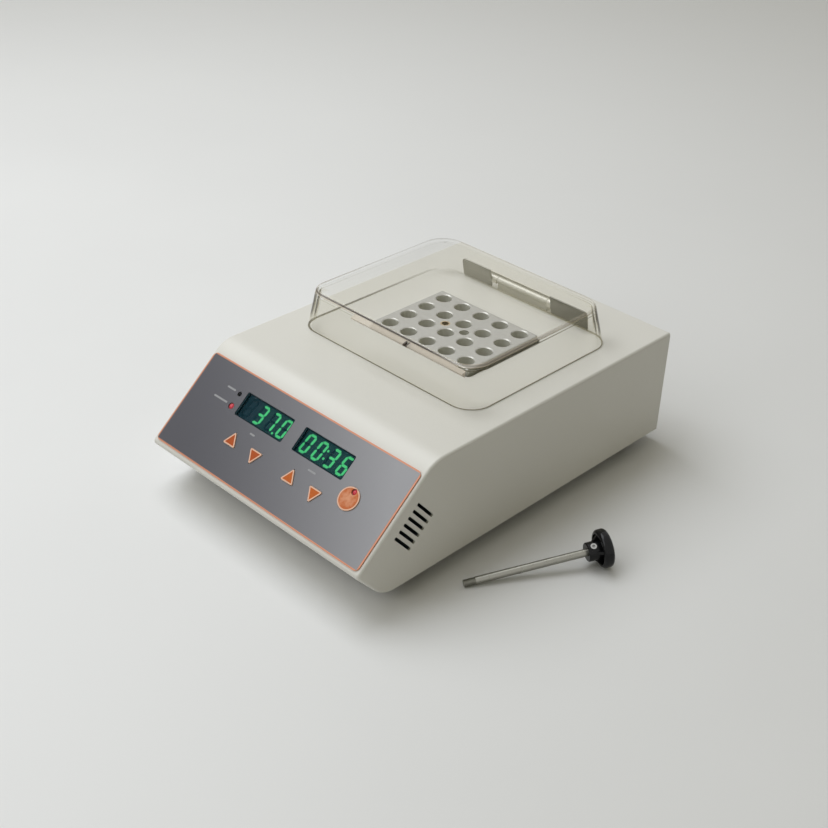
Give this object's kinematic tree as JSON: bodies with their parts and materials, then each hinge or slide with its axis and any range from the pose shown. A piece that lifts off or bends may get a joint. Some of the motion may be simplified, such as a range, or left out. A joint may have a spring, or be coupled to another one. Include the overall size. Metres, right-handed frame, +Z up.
{
  "type": "dry bath incubator",
  "caption": "Bench dry bath with a sloping control panel, a hinged clear lid over a drilled heating block, and a separate rod tool with a round knob for lifting the block.",
  "frame": {"origin": "centre of the case's footprint, on the bench plane under the feet", "axes": "+Z up, -Y out of the front with the control panel, +Y to the rear panel, +X to the right seen from the front"},
  "size_m": [0.2754, 0.3023, 0.1185],
  "materials": {
    "cream_paint": "fine textured cream enamel",
    "zinc_steel": "dull zinc plate",
    "bright_steel": "polished",
    "black_screw": "black zinc",
    "black_rubber": "matt",
    "panel_film": "grey printed film with a copper edge line",
    "window_black": "dark filter",
    "module_black": "matt",
    "digit_green": "lit green",
    "lamp_red": "lit red",
    "lamp_dark": "unlit",
    "key_orange": "copper orange with a pale rim",
    "board_green": "solder mask",
    "part_black": "matt",
    "block_aluminium": "satin anodised",
    "brass": "turned",
    "liner_steel": "satin",
    "plate_aluminium": "milled",
    "heater_orange": "silicone mat",
    "insulation_white": "pressed fibre",
    "sensor_steel": "tube",
    "lid_clear": "clear, slightly warm plastic",
    "hinge_steel": "satin stainless",
    "fitting_black": "moulded",
    "core_iron": "laminated",
    "winding_copper": "taped copper",
    "terminal_green": "moulded",
    "lead_grey": "sleeved leads",
    "knob_black": "polished black",
    "fuse_glass": "tube with metal caps"
  },
  "bodies": {
    "case": {"case_shell": "cream_paint", "base_plate": "zinc_steel", "rear_panel": "cream_paint", "feet": "black_rubber", "foot_screws": "zinc_steel", "base_screws": "black_screw", "rear_screws": "black_screw", "front_overlay": "panel_film", "display_windows": "window_black", "display_modules": "module_black", "display_digits": "digit_green", "off_led": "lamp_dark", "lit_leds": "lamp_red", "control_board": "board_green", "board_standoffs": "zinc_steel", "board_screws": "zinc_steel", "tact_switches": "part_black", "board_parts": "part_black", "chamber_liner": "liner_steel", "liner_nuts": "zinc_steel", "heater_plate": "plate_aluminium", "heater_mat": "heater_orange", "insulation_jacket": "insulation_white", "insulation_pad": "insulation_white", "heater_bridge": "zinc_steel", "bridge_posts": "zinc_steel", "bridge_screws": "black_screw", "temperature_sensor": "sensor_steel", "thermal_cutout": "part_black", "hinge_bracket": "hinge_steel", "hinge_screws": "bright_steel", "hinge_pin": "bright_steel", "mains_inlet": "fitting_black", "inlet_pins": "brass", "switch_frame": "fitting_black", "power_board": "board_green", "power_posts": "zinc_steel", "heat_sink": "plate_aluminium", "power_switching": "part_black", "terminal_block": "terminal_green", "transformer_core": "core_iron", "transformer_winding": "winding_copper", "wiring_loom": "lead_grey"},
    "lid": {"lid_cover": "lid_clear", "lid_lip": "lid_clear", "hinge_leaf": "hinge_steel"},
    "temp_up": {"temp_up_key": "key_orange"},
    "temp_down": {"temp_down_key": "key_orange"},
    "time_up": {"time_up_key": "key_orange"},
    "time_down": {"time_down_key": "key_orange"},
    "start": {"start_key": "key_orange"},
    "block": {"heating_block": "block_aluminium", "lift_insert": "brass"},
    "rocker": {"switch_rocker": "fitting_black"},
    "drawer": {"fuse_drawer": "fitting_black", "fuse": "fuse_glass"},
    "tool": {"tool_rod": "bright_steel", "tool_knob": "knob_black", "tool_set_screw": "zinc_steel"}
  },
  "joints": [
    {"name": "lid_hinge", "type": "hinge", "parent": "case", "child": "lid", "pos_m": [-0.0025, 0.1084, 0.096], "axis": [-1, 0, 0], "range_deg": [0, 95]},
    {"name": "temp_up_press", "type": "slide", "parent": "case", "child": "temp_up", "axis": [0, 0.6561, -0.7547], "range_m": [0, 0.0004], "stiffness_N_per_m": 1200, "springref_m": -0.0002},
    {"name": "temp_down_press", "type": "slide", "parent": "case", "child": "temp_down", "axis": [0, 0.6561, -0.7547], "range_m": [0, 0.0004], "stiffness_N_per_m": 1200, "springref_m": -0.0002},
    {"name": "time_up_press", "type": "slide", "parent": "case", "child": "time_up", "axis": [0, 0.6561, -0.7547], "range_m": [0, 0.0004], "stiffness_N_per_m": 1200, "springref_m": -0.0002},
    {"name": "time_down_press", "type": "slide", "parent": "case", "child": "time_down", "axis": [0, 0.6561, -0.7547], "range_m": [0, 0.0004], "stiffness_N_per_m": 1200, "springref_m": -0.0002},
    {"name": "start_press", "type": "slide", "parent": "case", "child": "start", "axis": [0, 0.6561, -0.7547], "range_m": [0, 0.0004], "stiffness_N_per_m": 1200, "springref_m": -0.0002},
    {"name": "block_lift", "type": "slide", "parent": "case", "child": "block", "axis": [0, 0, 1], "range_m": [0, 0.02]},
    {"name": "power_rocker", "type": "hinge", "parent": "case", "child": "rocker", "pos_m": [-0.022, 0.1476, 0.042], "axis": [-1, 0, 0], "range_deg": [0, 16]},
    {"name": "fuse_drawer_slide", "type": "slide", "parent": "case", "child": "drawer", "axis": [0, 1, 0], "range_m": [0, 0.022]},
    {"name": "tool_lift", "type": "slide", "parent": "case", "child": "tool", "axis": [0, 0, 1], "range_m": [0, 0.08]}
  ]
}
